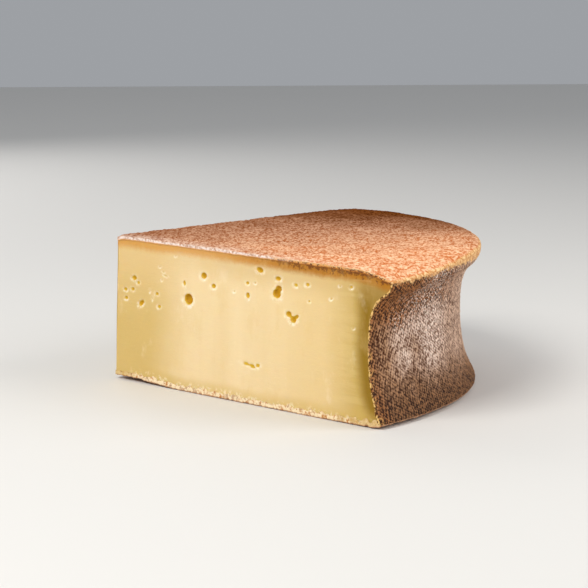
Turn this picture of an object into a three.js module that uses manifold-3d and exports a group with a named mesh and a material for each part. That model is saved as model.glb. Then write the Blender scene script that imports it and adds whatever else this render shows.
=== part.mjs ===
// A quarter cut from a wheel of aged mountain cheese, as it stands on a counter.
//
// The wheel is a low drum with two faintly domed faces and a hollow heel, the side wall
// that a wooden hoop pressed inwards. Two knife cuts through the middle free the quarter.
// It is one solid: the rind is the dried skin of the paste and doesn't come off it.
//
// Units are millimetres and +Z is up. The heel faces +X, the point of the quarter faces -X,
// and the two cut faces meet at the point. The origin is under the middle of the quarter's
// bounding box, on the surface that it stands on.

import * as THREE from "three";
import { mergeVertices } from "three/addons/utils/BufferGeometryUtils.js";
import Module from "manifold-3d";

// The wheel.
const MIDDLE_HEIGHT = 78.5; // top face at the wheel's middle
const RIM_RADIUS = 199.1; // upper rim, where it is widest
const RIM_SHARE = 0.955; // height of that place, as a share of the middle's height
const SHOULDER_WIDTH = 9.6; // outer stretch of the top face, which rounds over into the rim
const SHOULDER_DROP = 0.8; // how far the top face falls from the middle to its shoulder
const HEEL_HOLLOW = 11.3; // how far the heel goes in behind the upper rim
const WAIST_SHARE = 0.53; // height of the narrowest place, as a share of the middle's height
const LOWER_RIM_INSET = 2.3; // how much smaller the lower rim's radius is than the upper's
const LOWER_RIM_HEIGHT = 2.4; // height of the lower rim, where it is widest
const BASE_TURN_WIDTH = 22; // outer stretch of the base, which curls up into the lower rim
const BASE_DISH = 1.8; // how far the middle of the base is drawn up
const BASE_DISH_RADIUS = 62;
const OUT_OF_LEVEL = 1.2; // how much higher the wheel stands at its back than at its middle

// The upper rim has sunk and spread at the front cut, and less and less away from it.
const CORNER_SAG = 2.4;
const CORNER_FLARE = 2.5;
const CORNER_SPAN_DEG = 25; // how far round the wheel it reaches
const CORNER_WIDTH = 22; // outer stretch of the top face that takes part
const CORNER_TALL = 24; // upper stretch of the heel that takes part

// How long each end of a curve keeps its direction before it turns, as a share of the curve's
// rise, or of its width where it starts level.
const LOWER_RIM_KEEP = 0.09;
const LOWER_WAIST_KEEP = 0.76;
const UPPER_WAIST_KEEP = 0.94;
const UPPER_RIM_KEEP = 0.35;
const RIM_TOP_KEEP = 0.8;
const SHOULDER_KEEP = 0.5;
const BASE_RIM_KEEP = 0.7;

// The two knife cuts.
const SECTOR_DEG = 89; // angle between the cuts
const FRONT_CUT_LEAN_DEG = 1.8; // the front cut leans over the quarter towards its top
const BACK_CUT_LEAN_DEG = 0.9;

// Fineness of the facets.
const CURVE_STEPS = 10; // chords in each curved stretch of the outline
const TURN_STEPS = 192; // chords in a whole turn of the wheel

const PASTE_COLOUR = 0xe6cd94;

// Half of the wheel's outline as radius and height, from the middle of the base, round the
// heel, to the middle of the top face. The heel swings out from its waist to each rim in an S,
// upright at both ends, and the upper rim overhangs it in a lip.
function wheelOutline() {
  const rimHeight = MIDDLE_HEIGHT * RIM_SHARE;
  const lowerRimRadius = RIM_RADIUS - LOWER_RIM_INSET;
  const flatEnd = lowerRimRadius - BASE_TURN_WIDTH;
  const waistRadius = RIM_RADIUS - HEEL_HOLLOW;
  const waistHeight = MIDDLE_HEIGHT * WAIST_SHARE;
  const shoulderRadius = RIM_RADIUS - SHOULDER_WIDTH;
  const shoulderHeight = MIDDLE_HEIGHT - SHOULDER_DROP;

  const lowerHeelRise = waistHeight - LOWER_RIM_HEIGHT;
  const upperHeelRise = rimHeight - waistHeight;
  const shoulderRise = shoulderHeight - rimHeight;

  const outline = new THREE.Path();
  outline.moveTo(0, BASE_DISH);
  outline.bezierCurveTo(BASE_DISH_RADIUS / 2, BASE_DISH, BASE_DISH_RADIUS / 2, 0, BASE_DISH_RADIUS, 0);
  outline.lineTo(flatEnd, 0);
  outline.bezierCurveTo(
    flatEnd + BASE_RIM_KEEP * BASE_TURN_WIDTH,
    0,
    lowerRimRadius,
    LOWER_RIM_HEIGHT - BASE_RIM_KEEP * LOWER_RIM_HEIGHT,
    lowerRimRadius,
    LOWER_RIM_HEIGHT,
  );
  outline.bezierCurveTo(
    lowerRimRadius,
    LOWER_RIM_HEIGHT + LOWER_RIM_KEEP * lowerHeelRise,
    waistRadius,
    waistHeight - LOWER_WAIST_KEEP * lowerHeelRise,
    waistRadius,
    waistHeight,
  );
  outline.bezierCurveTo(
    waistRadius,
    waistHeight + UPPER_WAIST_KEEP * upperHeelRise,
    RIM_RADIUS,
    rimHeight - UPPER_RIM_KEEP * upperHeelRise,
    RIM_RADIUS,
    rimHeight,
  );
  outline.bezierCurveTo(
    RIM_RADIUS,
    rimHeight + RIM_TOP_KEEP * shoulderRise,
    shoulderRadius + SHOULDER_KEEP * SHOULDER_WIDTH,
    shoulderHeight - SHOULDER_DROP,
    shoulderRadius,
    shoulderHeight,
  );
  outline.quadraticCurveTo(shoulderRadius / 2, MIDDLE_HEIGHT, 0, MIDDLE_HEIGHT);
  return outline.getPoints(CURVE_STEPS);
}

// How much a place of the wheel takes part in the sunken corner: 1 on the rim at the front cut.
function cornerShare(place) {
  const { smoothstep, radToDeg } = THREE.MathUtils;
  const bearing = radToDeg(Math.atan2(place.y, place.x));
  const fromCut = Math.abs(bearing + SECTOR_DEG / 2);
  const radius = Math.hypot(place.x, place.y);
  const rimHeight = MIDDLE_HEIGHT * RIM_SHARE;
  const near = 1 - smoothstep(fromCut, 0, CORNER_SPAN_DEG);
  const outer = smoothstep(radius, RIM_RADIUS - CORNER_WIDTH, RIM_RADIUS);
  return near * outer * smoothstep(place.z, rimHeight - CORNER_TALL, rimHeight);
}

// The whole wheel: the outline turned about the upright axis, with the sunken corner. Then it is
// made a little higher at the back and lower at the front, as a wheel that was pressed out of
// level.
function wheelGeometry() {
  const wheel = new THREE.LatheGeometry(wheelOutline(), TURN_STEPS).rotateX(Math.PI / 2);
  const places = wheel.getAttribute("position");
  const place = new THREE.Vector3();
  const outward = new THREE.Vector3();
  for (let i = 0; i < places.count; i += 1) {
    place.fromBufferAttribute(places, i);
    const share = cornerShare(place);
    outward.set(place.x, place.y, 0).setLength(CORNER_FLARE * share);
    place.add(outward);
    place.z -= CORNER_SAG * share;
    place.z *= 1 + (OUT_OF_LEVEL / MIDDLE_HEIGHT) * (place.y / RIM_RADIUS);
    places.setXYZ(i, place.x, place.y, place.z);
  }
  return wheel;
}

// The side of a knife cut that is kept, as a large block. The cut runs from the wheel's
// middle along the bearing, and leans over the kept side by the lean. The side is 1 where
// the kept cheese lies anticlockwise of the cut, and -1 where it lies clockwise.
function keptSideOfCut(bearingDeg, leanDeg, side) {
  const reach = 4 * RIM_RADIUS;
  const block = new THREE.BoxGeometry(reach, reach, reach);
  block.translate(0, (side * reach) / 2, 0);
  block.rotateX(THREE.MathUtils.degToRad(-side * leanDeg));
  return block.rotateZ(THREE.MathUtils.degToRad(bearingDeg));
}

const wasm = await Module();
wasm.setup();

// A closed geometry as a solid that can be cut.
function toSolid(geometry) {
  const bare = new THREE.BufferGeometry();
  const source = geometry.index ? geometry.toNonIndexed() : geometry;
  bare.setAttribute("position", source.getAttribute("position"));
  const merged = mergeVertices(bare, 1e-3);
  return new wasm.Manifold(
    new wasm.Mesh({
      numProp: 3,
      vertProperties: new Float32Array(merged.attributes.position.array),
      triVerts: new Uint32Array(merged.index.array),
    }),
  );
}

// A solid as a flat-shaded geometry.
function toGeometry(solid) {
  const mesh = solid.getMesh();
  const geometry = new THREE.BufferGeometry();
  geometry.setAttribute("position", new THREE.BufferAttribute(mesh.vertProperties, mesh.numProp));
  geometry.setIndex(new THREE.BufferAttribute(mesh.triVerts, 1));
  const faceted = geometry.toNonIndexed();
  faceted.computeVertexNormals();
  return faceted;
}

// The quarter: what two knife cuts leave of the wheel.
function quarterGeometry() {
  const half = SECTOR_DEG / 2;
  const quarter = toSolid(wheelGeometry())
    .intersect(toSolid(keptSideOfCut(-half, FRONT_CUT_LEAN_DEG, 1)))
    .intersect(toSolid(keptSideOfCut(half, BACK_CUT_LEAN_DEG, -1)));
  return toGeometry(quarter);
}

const paste = new THREE.MeshStandardMaterial({
  color: PASTE_COLOUR,
  roughness: 0.6,
  metalness: 0,
  flatShading: true,
});

const wedge = new THREE.Mesh(quarterGeometry(), paste);
wedge.name = "cheese_wedge";
wedge.geometry.computeBoundingBox();
const middle = wedge.geometry.boundingBox.getCenter(new THREE.Vector3());
wedge.position.set(-middle.x, -middle.y, -wedge.geometry.boundingBox.min.z);

const cheese = new THREE.Group();
cheese.add(wedge);

export default cheese;
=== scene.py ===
"""A quarter cut from a wheel of aged mountain cheese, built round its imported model.

Metres, in the model's own frame: the quarter stands on z = 0, its heel faces +X and the two
knife cuts meet at its point, towards -X.
"""

import math

import bmesh
import bpy
import numpy as np
from mathutils import Matrix, Vector


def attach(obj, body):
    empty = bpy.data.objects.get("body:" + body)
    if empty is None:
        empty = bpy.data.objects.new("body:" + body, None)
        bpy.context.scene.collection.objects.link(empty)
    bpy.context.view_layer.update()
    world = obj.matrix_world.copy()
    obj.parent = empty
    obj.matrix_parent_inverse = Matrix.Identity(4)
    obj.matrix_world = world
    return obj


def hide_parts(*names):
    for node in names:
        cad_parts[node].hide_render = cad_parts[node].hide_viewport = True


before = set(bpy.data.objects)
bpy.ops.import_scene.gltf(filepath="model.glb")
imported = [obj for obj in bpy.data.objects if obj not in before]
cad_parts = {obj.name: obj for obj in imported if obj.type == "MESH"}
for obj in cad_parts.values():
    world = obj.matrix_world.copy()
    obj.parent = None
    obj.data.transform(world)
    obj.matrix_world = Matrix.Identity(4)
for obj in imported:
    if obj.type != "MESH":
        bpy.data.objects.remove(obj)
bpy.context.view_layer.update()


# ---------------------------------------------------------------------------------------------
# The table, the lights and the view. The cheese stands on a plain pale table, in soft light
# that comes from the upper left of the front cut, with wide weak lights on the heel's side
# and behind.


def shade(red, green, blue):
    """A colour from display values of 0 to 255: each is turned into linear light."""
    display = np.array([red, green, blue]) / 255
    linear = np.where(display < 0.04045, display / 12.92, ((display + 0.055) / 1.055) ** 2.4)
    return (*linear.tolist(), 1.0)


scene = bpy.context.scene
scene.view_settings.view_transform = "Standard"
scene.world = bpy.data.worlds.new("room")
scene.world.use_nodes = True
room_light = scene.world.node_tree.nodes["Background"].inputs
room_light["Color"].default_value = shade(232, 236, 242)
room_light["Strength"].default_value = 0.42

TABLE_REACH = 3.0
TABLE_GAP = 0.0002  # the table lies this far below the cheese, so that they don't share a face
table_corners = np.array([(-1, -1), (1, -1), (1, 1), (-1, 1)]) * TABLE_REACH
table_mesh = bpy.data.meshes.new("table")
table_mesh.from_pydata([(x, y, -TABLE_GAP) for x, y in table_corners], [], [(0, 1, 2, 3)])
table = bpy.data.objects.new("table", table_mesh)
scene.collection.objects.link(table)
table_finish = bpy.data.materials.new("table_finish")
table_finish.use_nodes = True
table_shader = table_finish.node_tree.nodes["Principled BSDF"]
table_shader.inputs["Base Color"].default_value = shade(222, 220, 216)
table_shader.inputs["Roughness"].default_value = 0.7
table_mesh.materials.append(table_finish)


def soft_light(name, place, aim, width, power, colour):
    """A square lamp of a width in metres and a power in watts at a place, turned towards its aim."""
    lamp = bpy.data.lights.new(name, "AREA")
    lamp.size, lamp.energy, lamp.color = width, power, colour
    holder = bpy.data.objects.new(name, lamp)
    holder.location = place
    holder.rotation_euler = (Vector(aim) - Vector(place)).to_track_quat("-Z", "Y").to_euler()
    scene.collection.objects.link(holder)


MIDDLE = (0.0, 0.0, 0.04)
DAYLIGHT, WALL_LIGHT = (1.0, 0.98, 0.94), (1.0, 0.98, 0.96)
soft_light("window", (-0.75, -0.85, 1.15), MIDDLE, 0.8, 19.0, DAYLIGHT)
soft_light("far_wall", (1.0, -0.25, 0.6), MIDDLE, 0.8, 8.0, WALL_LIGHT)
soft_light("back_wall", (-0.7, 1.1, 0.7), MIDDLE, 1.0, 5.0, WALL_LIGHT)

VIEW_PLACE = (-0.0013, -1.1325, 0.2192)
VIEW_DOWN = 0.1519  # radians below level
VIEW_ROLL = -0.0055
lens = bpy.data.cameras.new("view")
lens.sensor_width, lens.lens = 36.0, 128.6
lens.clip_start, lens.clip_end = 0.01, 20.0
viewer = bpy.data.objects.new("view", lens)
viewer.matrix_world = (
    Matrix.Translation(VIEW_PLACE)
    @ Matrix.Rotation(math.pi / 2 - VIEW_DOWN, 4, "X")
    @ Matrix.Rotation(VIEW_ROLL, 4, "Z")
)
scene.collection.objects.link(viewer)
scene.camera = viewer


# ---------------------------------------------------------------------------------------------
# The paste: the body of the cheese, pressed curd that has aged to a close ivory-yellow mass
# with a few small eyes. Two knife cuts bare it, and everywhere else it lies under the rind.

# The whole wheel.
MIDDLE_HEIGHT = 0.0785
RIM_RADIUS = 0.1991  # the upper rim, where it is widest
RIM_HEIGHT = 0.955 * MIDDLE_HEIGHT
SHOULDER_DROP = 0.0008  # how far the top face falls from the middle to its shoulder
SHOULDER_RADIUS = RIM_RADIUS - 0.0096  # the top face rounds over from here
SHOULDER_HEIGHT = MIDDLE_HEIGHT - SHOULDER_DROP
WAIST_RADIUS = RIM_RADIUS - 0.0113  # the heel is hollow between its two rims
WAIST_HEIGHT = 0.53 * MIDDLE_HEIGHT
LOWER_RIM_RADIUS = RIM_RADIUS - 0.0023
LOWER_RIM_HEIGHT = 0.0024
BASE_TURN_WIDTH = 0.022  # outer stretch of the base, which curls up into the lower rim
BASE_DISH = 0.0018  # how far the middle of the base is drawn up
BASE_DISH_RADIUS = 0.062
OUT_OF_LEVEL = 0.0012  # how much higher the wheel stands at its back than at its middle

# The upper rim has sunk and spread at the front cut, and is worn down at the back cut, as the
# point is at its top.
CORNER_SAG, CORNER_FLARE = 0.0024, 0.0025
CORNER_SPAN = math.radians(25)  # how far round the wheel it reaches
CORNER_WIDTH, CORNER_TALL = 0.022, 0.024  # how far in on the top face, and how far down the heel
BACK_WEAR = 0.0012
BACK_WEAR_SPAN, BACK_WEAR_WIDTH = math.radians(10), 0.03
POINT_WEAR, POINT_WEAR_REACH = 0.0014, 0.008
POINT_WEAR_BELOW = 0.7 * MIDDLE_HEIGHT  # the point keeps its height up to here

# The two knife cuts: the angle of each from the quarter's middle, and how they lean inwards.
HALF_SECTOR = math.radians(44.5)
FRONT_LEAN = math.tan(math.radians(1.8))
BACK_LEAN = math.tan(math.radians(0.9))

# How long each end of a curve keeps its direction before it turns, as a share of its rise.
LOWER_RIM_KEEP, LOWER_WAIST_KEEP = 0.09, 0.76
UPPER_WAIST_KEEP, UPPER_RIM_KEEP = 0.94, 0.35
RIM_TOP_KEEP, BASE_RIM_KEEP = 0.8, 0.7


CURVE_POINTS = 160


def bend(start, leave, arrive, end):
    """A curve from start to end that leaves towards one pull and arrives from the other: (1-t)^3,
    3t(1-t)^2, 3t^2(1-t) and t^3 of the four."""
    t = np.linspace(0, 1, CURVE_POINTS)[:, None]
    ends = (1 - t) ** 3 * np.array(start) + t**3 * np.array(end)
    return ends + 3 * t * (1 - t) ** 2 * np.array(leave) + 3 * t**2 * (1 - t) * np.array(arrive)


# The wheel's outline as radius and height, in three stretches that meet where the rims are widest.
lower_rise, upper_rise = WAIST_HEIGHT - LOWER_RIM_HEIGHT, RIM_HEIGHT - WAIST_HEIGHT
flat_end = LOWER_RIM_RADIUS - BASE_TURN_WIDTH
top_outline = np.concatenate(
    [
        bend(
            (0, MIDDLE_HEIGHT),
            (SHOULDER_RADIUS / 3, MIDDLE_HEIGHT),
            (SHOULDER_RADIUS * 2 / 3, MIDDLE_HEIGHT - (MIDDLE_HEIGHT - SHOULDER_HEIGHT) / 3),
            (SHOULDER_RADIUS, SHOULDER_HEIGHT),
        ),
        bend(
            (SHOULDER_RADIUS, SHOULDER_HEIGHT),
            ((SHOULDER_RADIUS + RIM_RADIUS) / 2, SHOULDER_HEIGHT - SHOULDER_DROP),
            (RIM_RADIUS, RIM_HEIGHT + RIM_TOP_KEEP * (SHOULDER_HEIGHT - RIM_HEIGHT)),
            (RIM_RADIUS, RIM_HEIGHT),
        )[1:],
    ]
)
heel_outline = np.concatenate(
    [
        bend(
            (LOWER_RIM_RADIUS, LOWER_RIM_HEIGHT),
            (LOWER_RIM_RADIUS, LOWER_RIM_HEIGHT + LOWER_RIM_KEEP * lower_rise),
            (WAIST_RADIUS, WAIST_HEIGHT - LOWER_WAIST_KEEP * lower_rise),
            (WAIST_RADIUS, WAIST_HEIGHT),
        ),
        bend(
            (WAIST_RADIUS, WAIST_HEIGHT),
            (WAIST_RADIUS, WAIST_HEIGHT + UPPER_WAIST_KEEP * upper_rise),
            (RIM_RADIUS, RIM_HEIGHT - UPPER_RIM_KEEP * upper_rise),
            (RIM_RADIUS, RIM_HEIGHT),
        )[1:],
    ]
)
base_outline = np.concatenate(
    [
        bend(
            (0, BASE_DISH),
            (BASE_DISH_RADIUS / 2, BASE_DISH),
            (BASE_DISH_RADIUS / 2, 0),
            (BASE_DISH_RADIUS, 0),
        ),
        bend(
            (flat_end, 0),
            (flat_end + BASE_RIM_KEEP * BASE_TURN_WIDTH, 0),
            (LOWER_RIM_RADIUS, (1 - BASE_RIM_KEEP) * LOWER_RIM_HEIGHT),
            (LOWER_RIM_RADIUS, LOWER_RIM_HEIGHT),
        ),
    ]
)


def spaced(outline, shares):
    """The points at the given shares of an outline's length."""
    steps = np.linalg.norm(np.diff(outline, axis=0), axis=1)
    run = np.concatenate([[0], np.cumsum(steps)])
    return np.stack([np.interp(shares * run[-1], run, outline[:, k]) for k in (0, 1)], axis=1)


def inward(outline, turn):
    """The unit direction into the cheese at each point: the outline's run turned a quarter,
    clockwise where turn is -1 and anticlockwise where it is 1."""
    run = np.gradient(outline, axis=0)
    run /= np.linalg.norm(run, axis=1, keepdims=True)
    return turn * np.stack([-run[:, 1], run[:, 0]], axis=1)


# Both cuts lean, so they meet on a slanting line: this far from the axis for each metre up.
POINT_DRIFT = np.array(
    [
        (FRONT_LEAN + BACK_LEAN) / (2 * math.sin(HALF_SECTOR)),
        (FRONT_LEAN - BACK_LEAN) / (2 * math.cos(HALF_SECTOR)),
    ]
)


def ease(value, low, high):
    """0 below low and 1 above high, by 3t^2 - 2t^3 between them."""
    t = np.clip((value - low) / (high - low), 0, 1)
    return t * t * (3 - 2 * t)


def from_axis(radius, height, across):
    """A place of the quarter, measured from the wheel's axis. across is 0 on the front cut and 1
    on the back cut. A cut is met where radius times the sine of the angle from the cut's foot is
    height times its lean, and radius 0 is the point's edge, which drifts off the axis. Then the
    front corner sinks and spreads, the back corner and the point's upper corner wear down, and
    heights grow towards the back."""
    point = height * np.linalg.norm(POINT_DRIFT)
    radius = point + radius * (1 - point / RIM_RADIUS)
    front = np.arcsin(np.minimum(height * FRONT_LEAN / radius, 1)) - HALF_SECTOR
    back = HALF_SECTOR - np.arcsin(np.minimum(height * BACK_LEAN / radius, 1))
    angle = front + (back - front) * across
    upper = ease(height, RIM_HEIGHT - CORNER_TALL, RIM_HEIGHT)
    sunk = ease(abs(angle + HALF_SECTOR), CORNER_SPAN, 0) * upper
    sunk = sunk * ease(radius, RIM_RADIUS - CORNER_WIDTH, RIM_RADIUS)
    point_worn = ease(radius, POINT_WEAR_REACH, 0) * ease(height, POINT_WEAR_BELOW, MIDDLE_HEIGHT)
    radius = radius + CORNER_FLARE * sunk
    back_worn = ease(abs(angle - HALF_SECTOR), BACK_WEAR_SPAN, 0) * upper
    back_worn = back_worn * ease(radius, RIM_RADIUS - BACK_WEAR_WIDTH, RIM_RADIUS)
    height = height - CORNER_SAG * sunk - POINT_WEAR * point_worn - BACK_WEAR * back_worn
    height = height * (1 + OUT_OF_LEVEL / MIDDLE_HEIGHT * radius * np.sin(angle) / RIM_RADIUS)
    return np.stack([radius * np.cos(angle), radius * np.sin(angle), height], axis=-1)


# The model stands with its box's middle at the origin, which puts the wheel's axis here.
TURN_STEPS = 40
whole = np.concatenate([top_outline, heel_outline, base_outline])
whole = from_axis(whole[:, :1], whole[:, 1:], np.linspace(0, 1, TURN_STEPS + 1)[None])
AXIS = -(whole.min(axis=(0, 1)) + whole.max(axis=(0, 1))) / 2 * np.array([1, 1, 0])

FRONT_RUN = np.array([math.cos(HALF_SECTOR), -math.sin(HALF_SECTOR), 0])
BACK_RUN = np.array([math.cos(HALF_SECTOR), math.sin(HALF_SECTOR), 0])
FRONT_FACING = -np.array([math.sin(HALF_SECTOR), math.cos(HALF_SECTOR), -FRONT_LEAN])
FRONT_FACING /= np.linalg.norm(FRONT_FACING)
BACK_FACING = np.array([-math.sin(HALF_SECTOR), math.cos(HALF_SECTOR), BACK_LEAN])
BACK_FACING /= np.linalg.norm(BACK_FACING)


def lumps(places, size, seed):
    """Smooth noise with lumps of a size. Each corner of a lattice of that size has a random slope,
    picked by mixing the bits of its three numbers and the seed, and a place blends the slopes of
    its eight corners by 6t^5 - 15t^4 + 10t^3. The gain of 1.2 makes it fill -1 to 1."""
    cell = np.asarray(places) / size
    corner = np.floor(cell).astype(np.int64)
    within = cell - corner
    blend = within**3 * (within * (within * 6 - 15) + 10)
    total = 0.0
    for offset in np.ndindex(2, 2, 2):
        mixed = (corner + offset) @ np.array([73856093, 19349663, 83492791]) + seed * 1013904223
        mixed = ((mixed ^ (mixed >> 15)) * 2246822519) & 0xFFFFFFFF
        mixed = ((mixed ^ (mixed >> 13)) * 3266489917) & 0xFFFFFFFF
        slope = np.stack([mixed & 1023, (mixed >> 10) & 1023, (mixed >> 20) & 1023], axis=-1)
        slope = slope / 511.5 - 1
        weight = np.prod(np.where(offset, blend, 1 - blend), axis=-1)
        total = total + weight * np.sum(slope * (within - offset), axis=-1)
    return total * 1.2


# Eyes of the front cut: distance along the cut from the point, height, width, height of the
# opening, tilt in degrees and depth, in millimetres.
FRONT_EYES = np.array(
    [
        (14.6, 56.5, 3.2, 2.4, 0, 1.5),
        (17.8, 54.2, 2.2, 1.7, 0, 0.9),
        (7.4, 49.6, 2.4, 1.7, 0, 1.0),
        (13.4, 50.3, 2.4, 1.8, 0, 1.2),
        (8.0, 45.0, 2.4, 1.7, 0, 1.1),
        (20.4, 43.4, 4.2, 2.4, 35, 1.6),
        (32.9, 49.7, 2.3, 1.7, 0, 1.1),
        (34.8, 42.9, 2.3, 1.7, 0, 1.0),
        (47.6, 71.2, 1.2, 0.9, 0, 0.6),
        (35.1, 64.3, 2.0, 0.9, 8, 0.35),
        (38.0, 61.9, 1.7, 0.8, -20, 0.35),
        (39.7, 60.0, 2.8, 1.0, -10, 0.4),
        (36.9, 57.6, 1.5, 1.1, 30, 0.35),
        (27.3, 50.9, 1.1, 1.6, 0, 0.3),
        (29.0, 46.8, 1.1, 1.8, 12, 0.3),
        (54.5, 57.5, 1.6, 2.9, 8, 1.1),
        (57.8, 49.4, 5.8, 5.2, 0, 3.0),
        (69.4, 62.9, 3.8, 3.0, 0, 1.8),
        (77.0, 58.2, 3.0, 2.2, 0, 1.3),
        (92.5, 57.1, 1.5, 1.1, 0, 0.5),
        (102.0, 62.3, 2.2, 1.6, 0, 1.0),
        (102.4, 56.0, 2.3, 2.8, 12, 1.4),
        (107.6, 62.9, 1.4, 1.1, 0, 0.5),
        (110.7, 69.8, 4.2, 2.6, -8, 1.7),
        (124.0, 66.7, 3.4, 2.1, 0, 1.4),
        (124.4, 61.5, 3.9, 3.1, 0, 2.2),
        (123.1, 59.0, 4.9, 4.4, 0, 2.6),
        (136.7, 64.7, 2.6, 1.8, 0, 0.8),
        (144.8, 65.7, 2.6, 1.8, 0, 0.8),
        (146.1, 57.5, 1.4, 1.1, 0, 0.8),
        (131.8, 49.5, 3.4, 2.8, 0, 1.7),
        (133.6, 48.2, 3.6, 1.5, -34, 1.4),
        (135.2, 47.0, 3.9, 3.2, 0, 1.8),
        (137.0, 48.5, 3.4, 1.8, 24, 1.4),
        (167.0, 67.2, 1.3, 1.0, 0, 0.5),
        (174.5, 67.5, 2.0, 1.5, 0, 0.7),
        (161.3, 60.3, 1.8, 1.1, 20, 0.5),
        (176.6, 47.4, 1.1, 0.8, 0, 0.5),
        (102.0, 20.5, 5.6, 1.4, -4, 0.9),
        (106.1, 19.8, 5.0, 1.6, -14, 1.1),
        (110.4, 20.6, 3.0, 2.0, 10, 0.9),
    ]
)
# Eyes of the back cut, in the same terms: drawn at random, most of them small and high up.
BACK_EYE_COUNT = 34
EYES_ALONG, EYES_UP = (12.0, 182.0), (14.0, 70.0)  # the part of the cut that has eyes
dice = np.random.default_rng(7)
eye_width = dice.gamma(3.0, 0.85, BACK_EYE_COUNT) + 0.9
BACK_EYES = np.stack(
    [
        dice.uniform(*EYES_ALONG, BACK_EYE_COUNT),
        EYES_UP[1] - (EYES_UP[1] - EYES_UP[0]) * dice.beta(1.1, 1.9, BACK_EYE_COUNT),
        eye_width,
        eye_width * dice.uniform(0.65, 1.1, BACK_EYE_COUNT),
        dice.uniform(-30, 30, BACK_EYE_COUNT),
        eye_width * 0.5,
    ],
    axis=1,
)


# From the lists to metres: a bowl's edge is soft, so it is cut a little wider and less deep.
EYE_UNITS = np.array([1e-3, 1e-3, 1.15e-3, 1.15e-3, 1, 0.7e-3])
EYE_UNEVEN = 0.16  # how far an eye's outline strays from an ellipse, as a share of its size
# The light ring is pale paste, with a painted highlight on its lower side.
RING_PLACE = 1.35  # where the light ring is, in half sizes of its eye


def hollow(along, height, eyes):
    """How deep the eyes go in at places of a cut, and how much pale paste rings them. An eye is a
    bowl, depth times (1 - q^4), where q is the place's distance in its tilted half sizes, which
    lumps make uneven. The ring is a bell round its place that is stronger below the eye, where it is
    a painted highlight on the eye's lower edge, and reaches 0.3 of a half size and 0.3 mm more."""
    depth = np.zeros_like(along)
    ring_and_glint = np.zeros_like(along)
    wobble = lumps(np.stack([along, height, 0 * along], axis=-1), 0.0028, 5)
    for at, up, wide, tall, tilt, deep in eyes * EYE_UNITS:
        turn = math.radians(tilt)
        x = (along - at) * math.cos(turn) + (height - up) * math.sin(turn)
        y = (height - up) * math.cos(turn) - (along - at) * math.sin(turn)
        q = np.hypot(x / (wide / 2), y / (tall / 2)) * (1 + EYE_UNEVEN * wobble)
        depth = np.maximum(depth, deep * (1 - np.minimum(q, 1) ** 4))
        below = 0.5 + 0.5 * np.clip((up - height) / tall, -1, 1)
        reach = 0.3 + 0.0006 / wide
        ring_and_glint = np.maximum(ring_and_glint, np.exp(-(((q - RING_PLACE) / reach) ** 2)) * below)
    return depth, ring_and_glint


RIND_THICKNESS = 0.0018
HEEL_RIND_THICKNESS = 0.0010
CRUST_THICKNESS = 0.0026  # the rind of the base, which is thicker
PASTE_COVER = 0.0004  # how far the rind's inner edge lies over the paste
CUT_COLUMNS, CUT_ROWS = 300, 124
INNER_STEPS = 16  # steps round the quarter of the surfaces that the rind covers
CUT_SINK = 0.00015  # how far the whole of a cut face lies behind the knife's plane
WAVE_SINK = 0.0002  # and how much more where its waves are
WAVE_START = 0.006  # from the rind to where the waves have their full height
STREAK_STRETCH = 18  # how much longer than wide the knife's streaks are
POINT_ROUNDING, POINT_ROUNDING_REACH = 0.00045, 0.0014
POINT_SHARP_REACH = 0.0012  # from the point's edge to where the face has sunk to its full depth
FULL_EYE_DEPTH = 0.0009  # an eye of this depth has an "eye" mark of 1


def heel_thickness_at(shares):
    """The rind's thickness at shares of the heel's outline. It eases from the crust's to the
    heel's own between 2 and 15 hundredths of the way up."""
    return CRUST_THICKNESS + (HEEL_RIND_THICKNESS - CRUST_THICKNESS) * ease(shares, 0.02, 0.15)


def under_rind(outline, turn, thickness, shares):
    """The paste's own outline: the wheel's, taken in by the rind's thickness less its cover."""
    points = spaced(outline, shares)
    taken_in = np.broadcast_to(thickness - PASTE_COVER, len(points))
    return points + inward(points, turn) * taken_in[:, None]


along_share = np.linspace(0, 1, CUT_COLUMNS + 1)
# Rows lie closer together in the upper half, where the eyes are.
row_gaps = 1 / (1 + 0.8 * ease(np.linspace(0, 1, CUT_ROWS), 0.3, 0.5))
up_share = np.concatenate([[0], np.cumsum(row_gaps)])
up_share /= up_share[-1]
paste_top = under_rind(top_outline, -1, RIND_THICKNESS, along_share)
paste_base = under_rind(base_outline, 1, CRUST_THICKNESS, along_share)
paste_heel = under_rind(heel_outline, 1, heel_thickness_at(up_share), up_share)
paste_heel[0], paste_heel[-1] = paste_base[-1], paste_top[-1]
paste_top[0, 0] = paste_base[0, 0] = 0
point_foot, point_head = paste_base[0, 1], paste_top[0, 1]
paste_point = np.stack([0 * up_share, point_foot + (point_head - point_foot) * up_share], axis=1)


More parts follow.
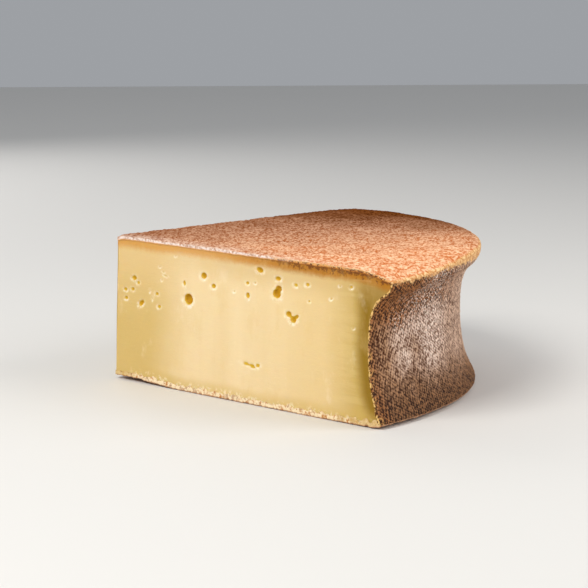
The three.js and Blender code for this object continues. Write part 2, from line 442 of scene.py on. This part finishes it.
def cut_face(across, run, facing, eyes, seed):
    """One cut face as a grid. Its four edges are filled by adding what each pair of facing edges
    gives and taking off what the corners give twice. Then the face sinks by its eyes, by broad
    waves and by faint upright streaks that the knife left."""
    outlines = (paste_base, paste_top, paste_point, paste_heel)
    base, top, point, heel = (from_axis(edge_and_glints[:, 0], edge_and_glints[:, 1], across) for edge_and_glints in outlines)
    u, v = along_share[None, :, None], up_share[:, None, None]
    flat = (1 - v) * base[None] + v * top[None] + (1 - u) * point[:, None] + u * heel[:, None]
    flat -= (1 - v) * ((1 - u) * base[0] + u * base[-1]) + v * ((1 - u) * top[0] + u * top[-1])
    along, height = flat @ run, flat[..., 2]
    depth, ring_and_glint = hollow(along, height, eyes)
    from_edge = np.minimum(up_share, 1 - up_share)[:, None] * MIDDLE_HEIGHT
    from_edge = np.minimum(from_edge, (1 - along_share)[None] * WAIST_RADIUS)
    streaks = np.stack([along, height / STREAK_STRETCH, 0 * along], axis=-1)
    waves = 0.00035 * lumps(flat, 0.045, seed) + 0.00012 * lumps(flat, 0.014, seed + 1)
    waves = waves + 0.00003 * lumps(streaks, 0.0024, seed + 2)
    sunk = depth + (waves + WAVE_SINK) * ease(from_edge, 0, WAVE_START) + CUT_SINK
    place = flat - sunk[..., None] * facing * ease(along, 0, POINT_SHARP_REACH)[..., None]
    place[..., 0] += POINT_ROUNDING * (1 - ease(along, 0.0, POINT_ROUNDING_REACH))
    marks = {
        "along": along,
        "height": height,
        "eye": depth / FULL_EYE_DEPTH,
        "ring_and_glint": ring_and_glint,
        "under_top": (1 - up_share)[:, None] * MIDDLE_HEIGHT,
        "over_base": up_share[:, None] * MIDDLE_HEIGHT,
        "from_heel": (1 - along_share)[None] * RIM_RADIUS,
    }
    return place, marks


front_face, front_marks = cut_face(0.0, FRONT_RUN, FRONT_FACING, FRONT_EYES, seed=3)
back_face, back_marks = cut_face(1.0, BACK_RUN, BACK_FACING, BACK_EYES, seed=11)

JOIN_WITHIN, LOSE_WITHIN = 2e-6, 1e-7
SHARP_FROM = math.radians(70)


def closed_piece(name, grids, apex=None):
    """A piece from grids of places with their bake maps and marks, joined where they share places.
    A piece of one grid is closed by a fan from its border to apex, a place inside the cheese.
    Edges too short to keep are lost, and faces are turned outwards."""
    places, faces, maps, marks, start = [], [], [], [], 0
    for place, flat_map, mark in grids:
        shape = place.shape[:2]
        number = start + np.arange(shape[0] * shape[1]).reshape(shape)
        quads = [number[:-1, :-1], number[:-1, 1:], number[1:, 1:], number[1:, :-1]]
        faces += np.stack(quads, axis=-1).reshape(-1, 4).tolist()
        places.append(place.reshape(-1, 3))
        maps.append(flat_map.reshape(-1, 2))
        marks.append({key: np.broadcast_to(value, shape).ravel() for key, value in mark.items()})
        start += number.size
    if apex is not None:
        border = [number[0], number[1:, -1], number[-1, -2::-1], number[-2:0:-1, 0]]
        border = np.concatenate(border)
        faces += np.stack([border, np.roll(border, 1), np.full(len(border), start)], axis=1).tolist()
        places.append(np.array([apex]))
        maps.append(maps[0].mean(axis=0)[None])
        marks.append({key: np.zeros(1) for key in mark})
    mesh = bpy.data.meshes.new(name)
    mesh.from_pydata(np.concatenate(places) + AXIS, [], faces)
    loops = np.empty(len(mesh.loops), dtype=np.int32)
    mesh.loops.foreach_get("vertex_index", loops)
    bake_map = np.concatenate(maps)[loops].astype(np.float32).ravel()
    mesh.uv_layers.new(name="OFBake").uv.foreach_set("vector", bake_map)
    for key in marks[0]:
        values = np.concatenate([mark[key] for mark in marks]).astype(np.float32)
        mesh.attributes.new(key, "FLOAT", "POINT").data.foreach_set("value", values)
    shell = bmesh.new()
    shell.from_mesh(mesh)
    bmesh.ops.remove_doubles(shell, verts=shell.verts, dist=JOIN_WITHIN)
    bmesh.ops.dissolve_degenerate(shell, edges=shell.edges, dist=LOSE_WITHIN)
    bmesh.ops.recalc_face_normals(shell, faces=shell.faces)
    shell.to_mesh(mesh)
    shell.free()
    mesh.shade_smooth()
    mesh.set_sharp_from_angle(angle=SHARP_FROM)
    piece = bpy.data.objects.new(name, mesh)
    scene.collection.objects.link(piece)
    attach(piece, "root")
    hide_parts("cheese_wedge")
    return piece


# The bake map holds a band for each cut face, and above them a strip for each inner surface.
BAND_TALL, BAND_STEP = 0.4, 0.42
STRIP_TALL, STRIP_STEP = 0.04, 0.05


def paste_grids():
    """The two cut faces and the surfaces that lie under the rind from one to the other. All the
    rows of the base and of the top start at the point's edge."""
    band = np.stack(np.broadcast_arrays(along_share[None], BAND_TALL * up_share[:, None]), axis=-1)
    next_band = band + np.array([0, BAND_STEP])
    grids = [(front_face, band, front_marks), (back_face, next_band, back_marks)]
    steps = np.linspace(0, 1, INNER_STEPS + 1)[1:-1, None]
    strip = 2 * BAND_STEP
    for outline, first, last in (
        (paste_base, front_face[0], back_face[0]),
        (paste_top, front_face[-1], back_face[-1]),
        (paste_heel, front_face[:, -1], back_face[:, -1]),
    ):
        inner = from_axis(outline[None, :, 0], outline[None, :, 1], steps)
        if outline is not paste_heel:
            inner[:, 0] = first[0]
        place = np.concatenate([first[None], inner, last[None]])
        share = np.linspace(0, 1, len(outline))[None]
        low = strip + STRIP_TALL * np.linspace(0, 1, len(place))[:, None]
        flat_map = np.stack(np.broadcast_arrays(share, low), axis=-1)
        grids.append((place, flat_map, dict.fromkeys(front_marks, 0.0)))
        strip += STRIP_STEP
    return grids


paste = closed_piece("paste", paste_grids())


class Look:
    """A socket of a material. Arithmetic between sockets and numbers adds Math nodes."""

    def __init__(self, tree, socket=None):
        self.tree, self.socket = tree, socket

    def node(self, kind, settings=None, inputs=None, output=0):
        """Adds a node: its settings first, then its sockets by name or number, from values or
        links."""
        made = self.tree.nodes.new(kind)
        for key, value in (settings or {}).items():
            setattr(made, key, value)
        for key, value in (inputs or {}).items():
            if isinstance(value, Look):
                self.tree.links.new(value.socket, made.inputs[key])
            else:
                made.inputs[key].default_value = value
        return Look(self.tree, made.outputs[output])

    def maths(self, operation, *values):
        """A Math node's result from sockets and numbers."""
        return self.node("ShaderNodeMath", {"operation": operation}, dict(enumerate(values)))

    def __add__(self, other):
        return self.maths("ADD", self, other)

    def __abs__(self):
        return self.maths("ABSOLUTE", self)

    def __sub__(self, other):
        return self.maths("SUBTRACT", self, other)

    def __rsub__(self, other):
        return self.maths("SUBTRACT", other, self)

    def __mul__(self, other):
        return self.maths("MULTIPLY", self, other)

    __radd__, __rmul__ = __add__, __mul__

    def highest(self, other):
        """The larger of two."""
        return self.maths("MAXIMUM", self, other)

    def along(self, way):
        """How far a place lies along a direction."""
        settings = {"operation": "DOT_PRODUCT"}
        return self.node("ShaderNodeVectorMath", settings, {0: self, 1: way}, output=1)

    def rise(self, low, high):
        """0 at low and 1 at high, eased; high may be under low."""
        inputs = {"Value": self, "From Min": low, "From Max": high}
        return self.node("ShaderNodeMapRange", {"interpolation_type": "SMOOTHSTEP"}, inputs)

    def places(self):
        """Where each place of the piece is, in metres."""
        return self.node("ShaderNodeTexCoord", output=3)

    def marks(self, *names):
        """What the mesh holds under each name."""
        kind = "ShaderNodeAttribute"
        return [self.node(kind, {"attribute_name": name}, output=2) for name in names]

    def noise(self, place, scale, detail=2.0, rough=0.5, stretch=(1, 1, 1), shift=(0, 0, 0)):
        """Cloudy noise from 0 to 1 at a place, with its lumps about 1 / scale metres across."""
        moved = {"Vector": place, "Scale": stretch, "Location": shift}
        place = self.node("ShaderNodeMapping", None, moved)
        inputs = {"Vector": place, "Scale": scale, "Detail": detail, "Roughness": rough}
        return self.node("ShaderNodeTexNoise", None, inputs)

    def mix(self, share, low, high, way="MIX"):
        """One colour laid over another by a share."""
        settings = {"data_type": "RGBA", "blend_type": way}
        return self.node("ShaderNodeMix", settings, {0: share, 6: low, 7: high}, output=2)

    def bump(self, height, strength, distance):
        """The surface's slope under a fine relief; its height of 1 is the distance in metres."""
        inputs = {"Strength": strength, "Distance": distance, "Height": height}
        return self.node("ShaderNodeBump", None, inputs)


def new_finish(name, **fixed):
    """A material, its shader with the sockets that are the same all over set, and a Look."""
    material = bpy.data.materials.new(name)
    material.use_nodes = True
    shader = material.node_tree.nodes["Principled BSDF"]
    for key, value in fixed.items():
        shader.inputs[key.replace("_", " ")].default_value = value
    return material, shader, Look(material.node_tree)


def feed(look, shader, **links):
    """Links finished patterns to the shader's sockets."""
    for key, value in links.items():
        look.tree.links.new(value.socket, shader.inputs[key.replace("_", " ")])


finish, shader, look = new_finish(
    "paste_finish",
    Specular_IOR_Level=0.25,
    Subsurface_Weight=0.3,
    Subsurface_Radius=(1.0, 0.6, 0.25),
    Subsurface_Scale=0.003,
)
place = look.places()
along, height, eye, ring_and_glint = look.marks("along", "height", "eye", "ring_and_glint")
under_top, over_base, from_heel = look.marks("under_top", "over_base", "from_heel")
cloud = look.noise(place, 22, 3, 0.55) - 0.5
band = look.noise(place, 40, 3, 0.5, stretch=(1, 1, 0.1)) - 0.5
grain = look.noise(place, 1300, 3, 0.6)
crumb = look.noise(place, 420, 3, 0.65) - 0.5
streak = look.noise(place, 90, 4, 0.62, stretch=(0.3, 0.3, 3)) - 0.5

# Ivory in the middle of the cut; yellower towards the point and towards the heel.
colour = look.mix(band.rise(-0.3, 0.3), shade(232, 205, 156), shade(242, 218, 174))
to_point = (0.070 - along + band * 0.02 + cloud * 0.03).rise(0.0, 0.05)
point_colour = look.mix(height.rise(0.03, 0.074), shade(208, 176, 102), shade(222, 190, 130))
colour = look.mix(to_point * 0.9, colour, point_colour)
colour = look.mix((along + band * 0.02).rise(0.10, 0.16) * 0.8, colour, shade(226, 196, 138))
to_heel = (along + band * 0.02 + cloud * 0.01).rise(0.156, 0.188)
colour = look.mix(to_heel * 0.9, colour, shade(192, 160, 80))

# The paste darkens and clears as it dries towards the rind: wide at the heel, thin elsewhere. Under
# the top rind a painted shade lies over it as well.
near_heel = 0.0118 - from_heel + cloud * 0.007 + streak * 0.001 + under_top.rise(0.03, 0.0) * 0.011
colour = look.mix(near_heel.rise(-0.002, 0.008) * 0.97, colour, shade(140, 106, 8))
# Painted shade of the top rind's overhang over the upper part of the cut.
painted_shade_below_top = (0.022 - under_top + cloud * 0.01).rise(0.0, 0.014) * along.rise(0.02, 0.1)
colour = look.mix(painted_shade_below_top * 0.38, colour, shade(196, 162, 100))
near_top = 0.0076 - under_top + cloud * 0.006 + crumb * 0.003 + along.rise(0.10, 0.19) * 0.001
near_top = near_top.rise(0.0, 0.0056) * (0.74 + along.rise(0.06, 0.13) * 0.2)
dried = look.mix(along.rise(0.06, 0.15), shade(210, 142, 44), shade(176, 112, 8))
colour = look.mix(near_top, colour, dried)
outer_half = along.rise(0.09, 0.15)
edge_top = 0.0018 - under_top + (grain - 0.5) * 0.006 + crumb * 0.012 + outer_half * 0.0012
colour = look.mix(edge_top.rise(0.0, 0.0018) * outer_half * 0.85, colour, shade(112, 58, 10))

# The knife leaves pale smears and wiped streaks, and near the heel the streaks also carry painted
# highlights of the paste's gloss; crumbs of the base's crust cling to its edge.
mottle = look.noise(place, 75, 4, 0.65, stretch=(1, 1, 0.55), shift=(8, 3, 6)).rise(0.5, 0.7)
colour = look.mix(mottle * 0.22, colour, shade(222, 188, 122))
smear = look.noise(place, 60, 4, 0.7, stretch=(1, 1, 0.6), shift=(2, 5, 1)).rise(0.56, 0.72)
colour = look.mix(smear * under_top.rise(0.008, 0.016) * 0.28, colour, shade(250, 230, 196))
# Wiped streaks by the heel, partly painted highlights.
wipe_and_highlight = (streak + cloud * 0.9 + crumb * 0.2).rise(0.05, 0.2)
wipe_and_highlight = wipe_and_highlight * along.rise(0.155, 0.178) * from_heel.rise(0.006, 0.014)
colour = look.mix(wipe_and_highlight * 0.12, colour, shade(244, 222, 164))
near_base = (0.0088 - over_base + cloud * 0.008).rise(0.0, 0.006) * along.rise(0.0, 0.05)
colour = look.mix(near_base * 0.5, colour, shade(206, 172, 92))
dust = (0.0052 - over_base + cloud * 0.012).rise(0.0, 0.003) * crumb.rise(0.02, 0.09)
colour = look.mix(dust * along.rise(0.004, 0.03) * 0.55, colour, shade(252, 234, 202))

# An eye is glossy gold inside, and its edge is torn to a pale ring, which carries a painted
# highlight on its lower side.
colour = look.mix(ring_and_glint * (0.55 + crumb * 4.0), colour, shade(255, 244, 220))
gold = look.mix(eye.rise(0.5, 1.6), shade(210, 168, 34), shade(190, 138, 0))
colour = look.mix(eye.rise(0.08, 0.6), colour, gold)
speckle = abs(grain - 0.5) * 0.5 + abs(streak) * 0.2
colour = look.mix(speckle, colour, shade(252, 236, 196), "SOFT_LIGHT")
relief = grain * 0.5 + look.noise(place, 160, 3, 0.6, stretch=(1, 1, 2.2)) * 1.4 + streak * 0.3
feed(
    look,
    shader,
    Base_Color=colour,
    Roughness=0.42 + grain * 0.16,
    Normal=look.bump(relief, 0.35, 0.0004),
)
paste.data.materials.append(finish)


# ---------------------------------------------------------------------------------------------
# The top of the rind: the paste's own dried and washed skin, about 2 mm thick, with short ridges
# of curd. It ends on the crest of the upper rim, where the heel's rind takes over, and its cut
# edges are crumbly.

TOP_ROWS, TOP_COLUMNS = 250, 380
END_DEPTHS = np.array([1.0, 1.0, 0.75, 0.5, 0.25, 0.08])  # shares of the thickness, inwards first
END_TUCK = np.array([0.0012, 0, 0, 0, 0, 0])  # the innermost edge is tucked behind the paste
PRINT_HEIGHT = 0.0007  # from the valleys of the rind's relief to its ridges


def rind_grid(outline, turn, rows, columns, thickness, ragged, print_relief):
    """A stretch of rind as a grid of rows along the outline and columns across the quarter, with a
    few columns at each end that turn in along the cut by the rind's thickness, which is one
    number or one for each row. Its outer face has broad dents, lumps of curd and a relief, and
    its cut edges are crumbly: ragged is the share by which the thickness varies there."""
    depth_share = np.concatenate([END_DEPTHS, np.zeros(columns + 1), END_DEPTHS[::-1]])
    tuck = np.concatenate([END_TUCK, np.zeros(columns + 1), END_TUCK[::-1]])
    across = np.concatenate([0 * END_DEPTHS, np.linspace(0, 1, columns + 1), 0 * END_DEPTHS + 1])
    points = spaced(outline, np.linspace(0, 1, rows + 1))
    into = inward(points, turn)
    outer = from_axis(points[:, :1], points[:, 1:], across[None])
    varied = 0.7 * lumps(outer, 0.0034, 44) + 0.7 * lumps(outer, 0.0016, 45)
    thickness = np.broadcast_to(thickness, rows + 1)[:, None]
    depth = thickness * (1 + ragged * np.clip(varied, -0.25, 1)) * depth_share[None]
    radius = points[:, :1] + into[:, :1] * depth
    height = points[:, 1:] + into[:, 1:] * depth
    flat = from_axis(np.maximum(radius, 0), height, across[None])
    angle = np.arctan2(outer[..., 1], outer[..., 0])
    level, upward = -into[:, :1], -into[:, 1:] + 0 * angle
    facing = np.stack([level * np.cos(angle), level * np.sin(angle), upward], axis=-1)
    ridge = print_relief(outer, angle, points[:, 1:])
    dents = 0.0005 * lumps(outer, 0.045, 41) + 0.0002 * lumps(outer, 0.013, 42)
    dents += PRINT_HEIGHT * (ridge - 0.5)
    front, back = across == 0, across == 1
    cut_facing = front[:, None] * FRONT_FACING + back[:, None] * BACK_FACING
    along = np.where(front[None], flat @ FRONT_RUN, flat @ BACK_RUN)
    crumbs = 0.00025 + 0.0003 * lumps(flat, 0.0026, 31) + 0.0003 * lumps(flat, 0.0014, 32)
    crumbs = crumbs * ease(along, 0, 0.002) - tuck[None]
    place = flat + facing * (dents * (1 - depth_share[None]))[..., None]
    place += cut_facing[None] * crumbs[..., None]
    marks = {
        "radius": points[:, :1],
        "up": points[:, 1:],
        "around": angle,
        "ridge": ridge,
        "end": depth_share[None],
        "from_cut": WAIST_RADIUS * (HALF_SECTOR - abs(angle)),
    }
    return place, marks


def curd_print(outer, _angle, _up):
    """The top's and the base's relief from 0 to 1: short worm-like ridges, where one field of
    lumps crosses zero, over smaller lumps."""
    worms = 1 - abs(lumps(outer, 0.0034, 51)) * 4.5
    return np.clip(0.42 + 0.24 * worms + 0.4 * lumps(outer, 0.0021, 52), 0, 1)


def planar_map(place):
    """The bake map of a face that lies almost level: its plan, scaled into the unit square."""
    low, high = place[..., :2].min(axis=(0, 1)), place[..., :2].max(axis=(0, 1))
    return (place[..., :2] - low) / (high - low)


top_place, top_marks = rind_grid(
    top_outline, -1, TOP_ROWS, TOP_COLUMNS, RIND_THICKNESS, ragged=0.25, print_relief=curd_print
)
top_grid = (top_place, planar_map(top_place), top_marks)
top_rind = closed_piece("top_rind", [top_grid], apex=(0.11, 0, 0.071))

finish, shader, look = new_finish("top_rind_finish", Roughness=0.6, Specular_IOR_Level=0.0)
place = look.places()
radius, ridge, end = look.marks("radius", "ridge", "end")
patch = look.noise(place, 26, 3, 0.6) - 0.5
blotch = look.noise(place, 95, 2, 0.5) - 0.5
fleck = look.noise(place, 520, 3, 0.7)
fine = look.noise(place, 820, 3, 0.65, stretch=(1, 0.35, 1)) - 0.5

# A dry bloom has settled on the ridges; between them the washed rind is bare. Painted light makes
# both paler towards the front cut, and painted shade makes them brown towards the back corner.
bloom = (ridge * 0.8 + (fleck - 0.5) * 0.9 + fine * 2.2 + blotch * 0.4).rise(0.0, 0.8)
painted_light_front = (place.along((0.4, -0.9, 0)) + patch * 0.09).rise(-0.04, 0.12)
painted_shade_back = (place.along((0.4, 0.9, 0)) + patch * 0.1).rise(0.02, 0.115)
ground = look.mix(painted_shade_back, look.mix(painted_light_front, shade(142, 78, 40), shade(210, 120, 64)), shade(72, 32, 6))
dry = look.mix(painted_shade_back, look.mix(painted_light_front, shade(206, 158, 126), shade(255, 210, 170)), shade(128, 74, 34))
colour = look.mix(bloom, ground, dry)

# Painted shade darkens a strip along the back cut, and a painted highlight whitens the bloom in a
# strip along the front cut.
from_back = place.along(tuple(-BACK_FACING)) + float(AXIS @ BACK_FACING)
painted_shade_back_cut = (0.045 - from_back + patch * 0.04).rise(0.0, 0.05)
colour = look.mix(painted_shade_back_cut * 0.36, colour, shade(122, 66, 32))
from_front = place.along(tuple(-FRONT_FACING)) + float(AXIS @ FRONT_FACING)
painted_highlight_front_cut = (0.014 - from_front + patch * 0.024 + blotch * 0.015).rise(0.0, 0.018)
painted_highlight_front_cut = painted_highlight_front_cut * (radius + blotch * 0.05).rise(0.185, 0.12)
colour = look.mix(painted_highlight_front_cut * (0.2 + bloom * 0.4), colour, shade(236, 208, 190))

# The rim is pale along its crest, partly from a painted highlight. On the cut edge a painted
# highlight runs along the rind's outer corner, whitish near the point; further out the edge breaks
# into dark crumbs with painted golden glints, under a painted cream highlight at the corner, over a
# golden inner layer.
PALE_RIM_RADIUS = RIM_RADIUS - 0.0019
pale_rim_and_highlight = (radius - PALE_RIM_RADIUS + patch * 0.003 + blotch * 0.002 + fine * 0.003).rise(0.0, 0.0012)
pale_rim_colour = look.mix(fleck.rise(0.4, 0.6), shade(206, 142, 80), shade(248, 216, 160))
colour = look.mix(pale_rim_and_highlight * 0.85, colour, pale_rim_colour)
# Painted highlight of the cut edge near the point.
edge_and_glints = look.mix(fleck.rise(0.38, 0.56), shade(200, 160, 136), shade(246, 228, 218))
# Dark crumbs with painted golden glints, then a painted cream highlight along the outer corner.
crumbs = look.mix(fleck.rise(0.44, 0.56), shade(84, 40, 8), shade(226, 160, 78))
crumbs = look.mix((end + (fleck - 0.5) * 1.4).rise(0.36, 0.16), crumbs, shade(244, 202, 150))
edge_and_glints = look.mix((radius + blotch * 0.05).rise(0.11, 0.14) * 0.92, edge_and_glints, crumbs)
inner_layer = look.mix(radius.rise(0.11, 0.14), shade(220, 158, 84), shade(172, 104, 38))
edge_and_glints = look.mix((end + (fleck - 0.5) * 0.9).rise(0.66, 0.9) * 0.9, edge_and_glints, inner_layer)
colour = look.mix(end.rise(0.0, 0.2) * 0.95, colour, edge_and_glints)
relief = fleck + look.noise(place, 1500, 2, 0.6) * 0.3
feed(look, shader, Base_Color=colour, Normal=look.bump(relief, 0.8, 0.0007))
top_rind.data.materials.append(finish)


# ---------------------------------------------------------------------------------------------
# The heel: the wheel's side, where the rind is thin. A wooden hoop pressed it hollow and a coarse
# cloth printed it. It runs from the crest of the lower rim, where it is as thick as the base's
# crust, to the crest of the upper rim.

HEEL_ROWS, HEEL_COLUMNS = 190, 490
THREAD_ROUND, THREAD_UP = 0.0024, 0.0026  # spacing of the cloth's threads


def cloth_print(outer, angle, up):
    """The heel's relief from 0 to 1: the nubs of a coarse cloth, as the product of a wave round
    the wheel and a wave up it, both a little slanted, which lumps push out of line and break up."""
    run = angle * WAIST_RADIUS
    around = np.sin(2 * np.pi * (run + up * 0.5) / THREAD_ROUND + lumps(outer, 0.007, 61) * 3)
    upward = np.sin(2 * np.pi * (up - run * 0.2) / THREAD_UP + lumps(outer, 0.006, 62) * 3)
    return np.clip(0.5 + 0.28 * around * upward + 0.42 * lumps(outer, 0.0018, 63), 0, 1)


def unrolled_map(place):
    """The bake map of a face that goes round the wheel: its rows and columns."""
    rows, columns = place.shape[:2]
    u, v = np.linspace(0, 1, columns)[None], np.linspace(0, 1, rows)[:, None]
    return np.stack(np.broadcast_arrays(u, v), axis=-1)


heel_thickness = heel_thickness_at(np.linspace(0, 1, HEEL_ROWS + 1))
heel_place, heel_marks = rind_grid(
    heel_outline, 1, HEEL_ROWS, HEEL_COLUMNS, heel_thickness, ragged=0.35, print_relief=cloth_print
)
heel_grid = (heel_place, unrolled_map(heel_place), heel_marks)
heel_rind = closed_piece("heel_rind", [heel_grid], apex=(0.165, 0, 0.037))

finish, shader, look = new_finish("heel_rind_finish", Specular_IOR_Level=0.14)
place = look.places()
up, around, ridge, end, from_cut = look.marks("up", "around", "ridge", "end", "from_cut")
patch = look.noise(place, 34, 3, 0.6) - 0.5
fleck = look.noise(place, 900, 3, 0.7, stretch=(1, 1, 0.7))
tooth = look.noise(place, 240, 2, 0.5, shift=(3, 1, 7)) - 0.5

# Dark between the threads' nubs and pale on them. A painted greyish sheen lies over the middle, the
# lower rim is browner, and painted shade darkens the strip by the cuts and the hollow under the
# front corner's lip.
thread = ridge + (fleck - 0.5) * 1.8 + patch * 0.3 - 0.5
painted_sheen = (around + 0.72 + patch * 0.5).rise(0.0, 0.2) * (up + patch * 0.04).rise(0.01, 0.034)
painted_sheen = painted_sheen * (1 - (around + patch * 0.3).rise(-0.48, -0.3) * 0.55)
low = (up + patch * 0.02).rise(0.03, 0.004)
painted_shade = (0.012 - from_cut + patch * 0.014).rise(0.0, 0.01) * 0.8
painted_shade_under_lip = (up + patch * 0.04).rise(0.044, 0.059) * (around + patch * 0.4).rise(-0.2, -0.44)
painted_shade = painted_shade.highest(painted_shade_under_lip)
deep = look.mix(painted_sheen, shade(76, 38, 16), shade(116, 76, 50))
deep = look.mix(low, deep, shade(40, 18, 4))
deep = look.mix(painted_shade, deep, shade(54, 26, 8))
pale = look.mix(painted_sheen, shade(186, 144, 110), shade(242, 214, 196))
pale = look.mix(low, pale, shade(130, 88, 56))
pale = look.mix(painted_shade, pale, shade(162, 102, 54))
colour = look.mix((thread * (1 + painted_shade * 0.5)).rise(-0.25, 0.32), deep, pale)
# Painted glints on the nubs' tops: near white in the painted sheen, golden elsewhere.
painted_nub_glints = (ridge * 0.3 + look.noise(place, 1200, 2, 0.6, shift=(5, 5, 5))).rise(0.68, 0.8)
glint_colour = look.mix(painted_sheen, shade(214, 158, 104), shade(250, 234, 220))
colour = look.mix(painted_nub_glints * (0.22 + painted_sheen * 0.62), colour, glint_colour)
spot = look.noise(place, 70, 4, 0.7, shift=(2, 9, 4)).rise(0.66, 0.8)
colour = look.mix(spot * 0.4, colour, shade(186, 104, 70))

# The crest of the upper rim is pale from this height up, lower down at the front cut, partly from a
# painted highlight.
LIP_HEIGHT = 0.0732
pale_lip_and_highlight = up - LIP_HEIGHT + around.rise(-0.6, -0.1) * 0.003
pale_lip_and_highlight = (pale_lip_and_highlight + patch * 0.003 + tooth * 0.006 + (fleck - 0.5) * 0.003).rise(0.0, 0.0016)
pale_lip_colour = look.mix(fleck.rise(0.36, 0.62), shade(196, 126, 70), shade(242, 198, 136))
colour = look.mix(pale_lip_and_highlight * 0.95, colour, pale_lip_colour)

# The cut edge is crumbly and dark, with painted golden glints, which reach a little onto the side of
# the heel too.
painted_edge_glints = (0.0026 - from_cut + tooth * 0.007).rise(0.0, 0.002) * (fleck + tooth * 0.3).rise(0.5, 0.6)
colour = look.mix(painted_edge_glints * 0.65, colour, shade(214, 164, 96))
# The cut edge: dark crumbs and painted golden glints.
edge_and_glints = look.mix((fleck + tooth * 0.4).rise(0.42, 0.56), shade(104, 60, 18), shade(236, 196, 122))
broken = (look.noise(place, 300, 2, 0.5, shift=(1, 6, 2)) - 0.5) * 3.0
colour = look.mix(end.rise(0.0, 0.2) * (end + broken).rise(-0.1, 0.5) * 0.92, colour, edge_and_glints)
feed(
    look,
    shader,
    Base_Color=colour,
    Roughness=0.6 - painted_sheen * 0.12,
    Normal=look.bump(fleck, 1.0, 0.0006),
)
heel_rind.data.materials.append(finish)


# ---------------------------------------------------------------------------------------------
# The base: the crust that the wheel has stood on, thicker than the rest of the rind and the most
# crumbly where it is cut. Its middle is drawn up a little, and it curls up into the lower rim.

BASE_ROWS, BASE_COLUMNS = 320, 280
base_place, base_marks = rind_grid(
    base_outline, 1, BASE_ROWS, BASE_COLUMNS, CRUST_THICKNESS, ragged=0.95, print_relief=curd_print
)
base_grid = (base_place, planar_map(base_place), base_marks)
base_rind = closed_piece("base_rind", [base_grid], apex=(0.11, 0, 0.006))

finish, shader, look = new_finish("base_rind_finish", Roughness=0.6)
place = look.places()
end, radius = look.marks("end", "radius")
fleck = look.noise(place, 460, 3, 0.65)
crumb = look.noise(place, 300, 2, 0.6, shift=(4, 4, 4))
colour = look.mix(fleck.rise(0.38, 0.62), shade(150, 96, 58), shade(196, 150, 112))
# The cut edge of the crust is pale and golden, and yellower at the heel and at the point.
crust = look.mix(fleck.rise(0.34, 0.52), shade(198, 132, 66), shade(248, 226, 186))
crust = look.mix(crumb.rise(0.55, 0.66) * 0.6, crust, shade(156, 98, 48))
to_heel = (radius + (crumb - 0.5) * 0.06).rise(0.15, 0.185)
crust = look.mix(to_heel * 0.7, crust, shade(206, 168, 92))
to_point = (radius + (crumb - 0.5) * 0.03).rise(0.022, 0.008)
crust = look.mix(to_point * 0.75, crust, shade(212, 176, 100))
colour = look.mix(end.rise(0.05, 0.3), colour, crust)
feed(look, shader, Base_Color=colour, Normal=look.bump(fleck, 0.9, 0.0007))
base_rind.data.materials.append(finish)
